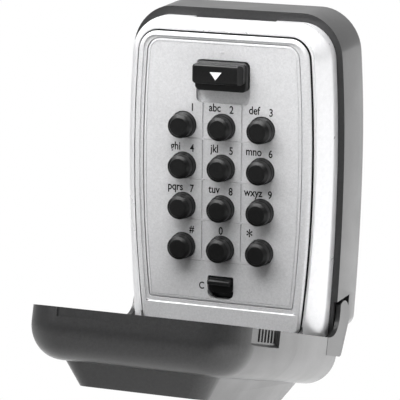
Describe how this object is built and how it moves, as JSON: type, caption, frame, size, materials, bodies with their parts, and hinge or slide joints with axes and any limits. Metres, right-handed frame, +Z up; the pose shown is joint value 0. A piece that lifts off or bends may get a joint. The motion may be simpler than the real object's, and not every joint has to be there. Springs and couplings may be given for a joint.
{
  "type": "key lock box",
  "caption": "Wall-mounted key safe: push-button keypad door hinged at its foot, sprung opening slider and clear lever, drop-down weather cover.",
  "frame": {"origin": "centre of the flat wall face of the rear housing", "axes": "+Y into the wall, -Y out of the keypad, +Z up, +X to the right as one faces the keypad"},
  "size_m": [0.0908, 0.1381, 0.1526],
  "materials": {
    "pewter_paint": "satin dark pewter powder paint",
    "bright_silver": "glossy bright silver",
    "satin_silver": "fine-grained satin silver",
    "black_plastic": "satin black moulding",
    "grey_plastic": "matte dark grey moulding",
    "steel": "zinc plated",
    "brass": "turned brass"
  },
  "bodies": {
    "root": {"rear_housing": "pewter_paint", "front_frame": "bright_silver", "cover_pivot_left": "steel", "cover_pivot_right": "steel", "frame_screw_left": "steel", "frame_screw_right": "steel", "keeper_spring": "steel", "door_hinge_pin": "steel"},
    "cover": {"weather_cover": "pewter_paint"},
    "door": {"door_panel": "satin_silver", "keypad_plate": "satin_silver", "spring_plate": "steel", "lock_case": "grey_plastic", "case_screw_1": "steel", "case_screw_2": "steel", "case_screw_3": "steel", "case_screw_4": "steel", "button_spring_1": "steel", "button_spring_2": "steel", "button_spring_3": "steel", "button_spring_4": "steel", "button_spring_5": "steel", "button_spring_6": "steel", "button_spring_7": "steel", "button_spring_8": "steel", "button_spring_9": "steel", "button_spring_hash": "steel", "button_spring_0": "steel", "button_spring_star": "steel", "slider_spring": "steel", "clear_spring": "steel"},
    "slider": {"open_slider": "black_plastic", "latch_bolt": "steel", "code_slide": "steel"},
    "clear": {"clear_lever": "black_plastic", "clear_fork": "steel"},
    "key_1": {"button_1": "black_plastic"},
    "pin_1": {"code_pin_1": "brass"},
    "key_2": {"button_2": "black_plastic"},
    "pin_2": {"code_pin_2": "brass"},
    "key_3": {"button_3": "black_plastic"},
    "pin_3": {"code_pin_3": "brass"},
    "key_4": {"button_4": "black_plastic"},
    "pin_4": {"code_pin_4": "brass"},
    "key_5": {"button_5": "black_plastic"},
    "pin_5": {"code_pin_5": "brass"},
    "key_6": {"button_6": "black_plastic"},
    "pin_6": {"code_pin_6": "brass"},
    "key_7": {"button_7": "black_plastic"},
    "pin_7": {"code_pin_7": "brass"},
    "key_8": {"button_8": "black_plastic"},
    "pin_8": {"code_pin_8": "brass"},
    "key_9": {"button_9": "black_plastic"},
    "pin_9": {"code_pin_9": "brass"},
    "key_hash": {"button_hash": "black_plastic"},
    "pin_hash": {"code_pin_hash": "brass"},
    "key_0": {"button_0": "black_plastic"},
    "pin_0": {"code_pin_0": "brass"},
    "key_star": {"button_star": "black_plastic"},
    "pin_star": {"code_pin_star": "brass"}
  },
  "joints": [
    {"name": "cover_hinge", "type": "hinge", "parent": "root", "child": "cover", "pos_m": [0, -0.018, -0.056], "axis": [1, 0, 0], "range_deg": [-73.2, 0]},
    {"name": "door_hinge", "type": "hinge", "parent": "root", "child": "door", "pos_m": [0, -0.035, -0.0565], "axis": [1, 0, 0], "range_deg": [0, 66], "deforming": ["keeper_spring"]},
    {"name": "open_slide", "type": "slide", "parent": "door", "child": "slider", "axis": [0, 0, -1], "range_m": [0, 0.004], "stiffness_N_per_m": 250, "springref_m": -0.004, "deforming": ["slider_spring"]},
    {"name": "clear_slide", "type": "slide", "parent": "door", "child": "clear", "axis": [0, 0, -1], "range_m": [0, 0.0024], "stiffness_N_per_m": 250, "springref_m": -0.003, "deforming": ["clear_spring"]},
    {"name": "press_1", "type": "slide", "parent": "door", "child": "key_1", "axis": [0, 1, 0], "range_m": [0, 0.0024], "stiffness_N_per_m": 300, "springref_m": -0.003, "deforming": ["button_spring_1"]},
    {"name": "press_2", "type": "slide", "parent": "door", "child": "key_2", "axis": [0, 1, 0], "range_m": [0, 0.0024], "stiffness_N_per_m": 300, "springref_m": -0.003, "deforming": ["button_spring_2"]},
    {"name": "press_3", "type": "slide", "parent": "door", "child": "key_3", "axis": [0, 1, 0], "range_m": [0, 0.0024], "stiffness_N_per_m": 300, "springref_m": -0.003, "deforming": ["button_spring_3"]},
    {"name": "press_4", "type": "slide", "parent": "door", "child": "key_4", "axis": [0, 1, 0], "range_m": [0, 0.0024], "stiffness_N_per_m": 300, "springref_m": -0.003, "deforming": ["button_spring_4"]},
    {"name": "press_5", "type": "slide", "parent": "door", "child": "key_5", "axis": [0, 1, 0], "range_m": [0, 0.0024], "stiffness_N_per_m": 300, "springref_m": -0.003, "deforming": ["button_spring_5"]},
    {"name": "press_6", "type": "slide", "parent": "door", "child": "key_6", "axis": [0, 1, 0], "range_m": [0, 0.0024], "stiffness_N_per_m": 300, "springref_m": -0.003, "deforming": ["button_spring_6"]},
    {"name": "press_7", "type": "slide", "parent": "door", "child": "key_7", "axis": [0, 1, 0], "range_m": [0, 0.0024], "stiffness_N_per_m": 300, "springref_m": -0.003, "deforming": ["button_spring_7"]},
    {"name": "press_8", "type": "slide", "parent": "door", "child": "key_8", "axis": [0, 1, 0], "range_m": [0, 0.0024], "stiffness_N_per_m": 300, "springref_m": -0.003, "deforming": ["button_spring_8"]},
    {"name": "press_9", "type": "slide", "parent": "door", "child": "key_9", "axis": [0, 1, 0], "range_m": [0, 0.0024], "stiffness_N_per_m": 300, "springref_m": -0.003, "deforming": ["button_spring_9"]},
    {"name": "press_hash", "type": "slide", "parent": "door", "child": "key_hash", "axis": [0, 1, 0], "range_m": [0, 0.0024], "stiffness_N_per_m": 300, "springref_m": -0.003, "deforming": ["button_spring_hash"]},
    {"name": "press_0", "type": "slide", "parent": "door", "child": "key_0", "axis": [0, 1, 0], "range_m": [0, 0.0024], "stiffness_N_per_m": 300, "springref_m": -0.003, "deforming": ["button_spring_0"]},
    {"name": "press_star", "type": "slide", "parent": "door", "child": "key_star", "axis": [0, 1, 0], "range_m": [0, 0.0024], "stiffness_N_per_m": 300, "springref_m": -0.003, "deforming": ["button_spring_star"]},
    {"name": "code_1", "type": "hinge", "parent": "key_1", "child": "pin_1", "pos_m": [-0.0158, -0.031, 0.02095], "axis": [0, 1, 0], "range_deg": [0, 180]},
    {"name": "code_2", "type": "hinge", "parent": "key_2", "child": "pin_2", "pos_m": [0.0002, -0.031, 0.02095], "axis": [0, 1, 0], "range_deg": [0, 180]},
    {"name": "code_3", "type": "hinge", "parent": "key_3", "child": "pin_3", "pos_m": [0.0162, -0.031, 0.02095], "axis": [0, 1, 0], "range_deg": [0, 180]},
    {"name": "code_4", "type": "hinge", "parent": "key_4", "child": "pin_4", "pos_m": [-0.0158, -0.031, 0.00495], "axis": [0, 1, 0], "range_deg": [0, 180]},
    {"name": "code_5", "type": "hinge", "parent": "key_5", "child": "pin_5", "pos_m": [0.0002, -0.031, 0.00495], "axis": [0, 1, 0], "range_deg": [0, 180]},
    {"name": "code_6", "type": "hinge", "parent": "key_6", "child": "pin_6", "pos_m": [0.0162, -0.031, 0.00495], "axis": [0, 1, 0], "range_deg": [0, 180]},
    {"name": "code_7", "type": "hinge", "parent": "key_7", "child": "pin_7", "pos_m": [-0.0158, -0.031, -0.01105], "axis": [0, 1, 0], "range_deg": [0, 180]},
    {"name": "code_8", "type": "hinge", "parent": "key_8", "child": "pin_8", "pos_m": [0.0002, -0.031, -0.01105], "axis": [0, 1, 0], "range_deg": [0, 180]},
    {"name": "code_9", "type": "hinge", "parent": "key_9", "child": "pin_9", "pos_m": [0.0162, -0.031, -0.01105], "axis": [0, 1, 0], "range_deg": [0, 180]},
    {"name": "code_hash", "type": "hinge", "parent": "key_hash", "child": "pin_hash", "pos_m": [-0.0158, -0.031, -0.02705], "axis": [0, 1, 0], "range_deg": [0, 180]},
    {"name": "code_0", "type": "hinge", "parent": "key_0", "child": "pin_0", "pos_m": [0.0002, -0.031, -0.02705], "axis": [0, 1, 0], "range_deg": [0, 180]},
    {"name": "code_star", "type": "hinge", "parent": "key_star", "child": "pin_star", "pos_m": [0.0162, -0.031, -0.02705], "axis": [0, 1, 0], "range_deg": [0, 180]}
  ]
}
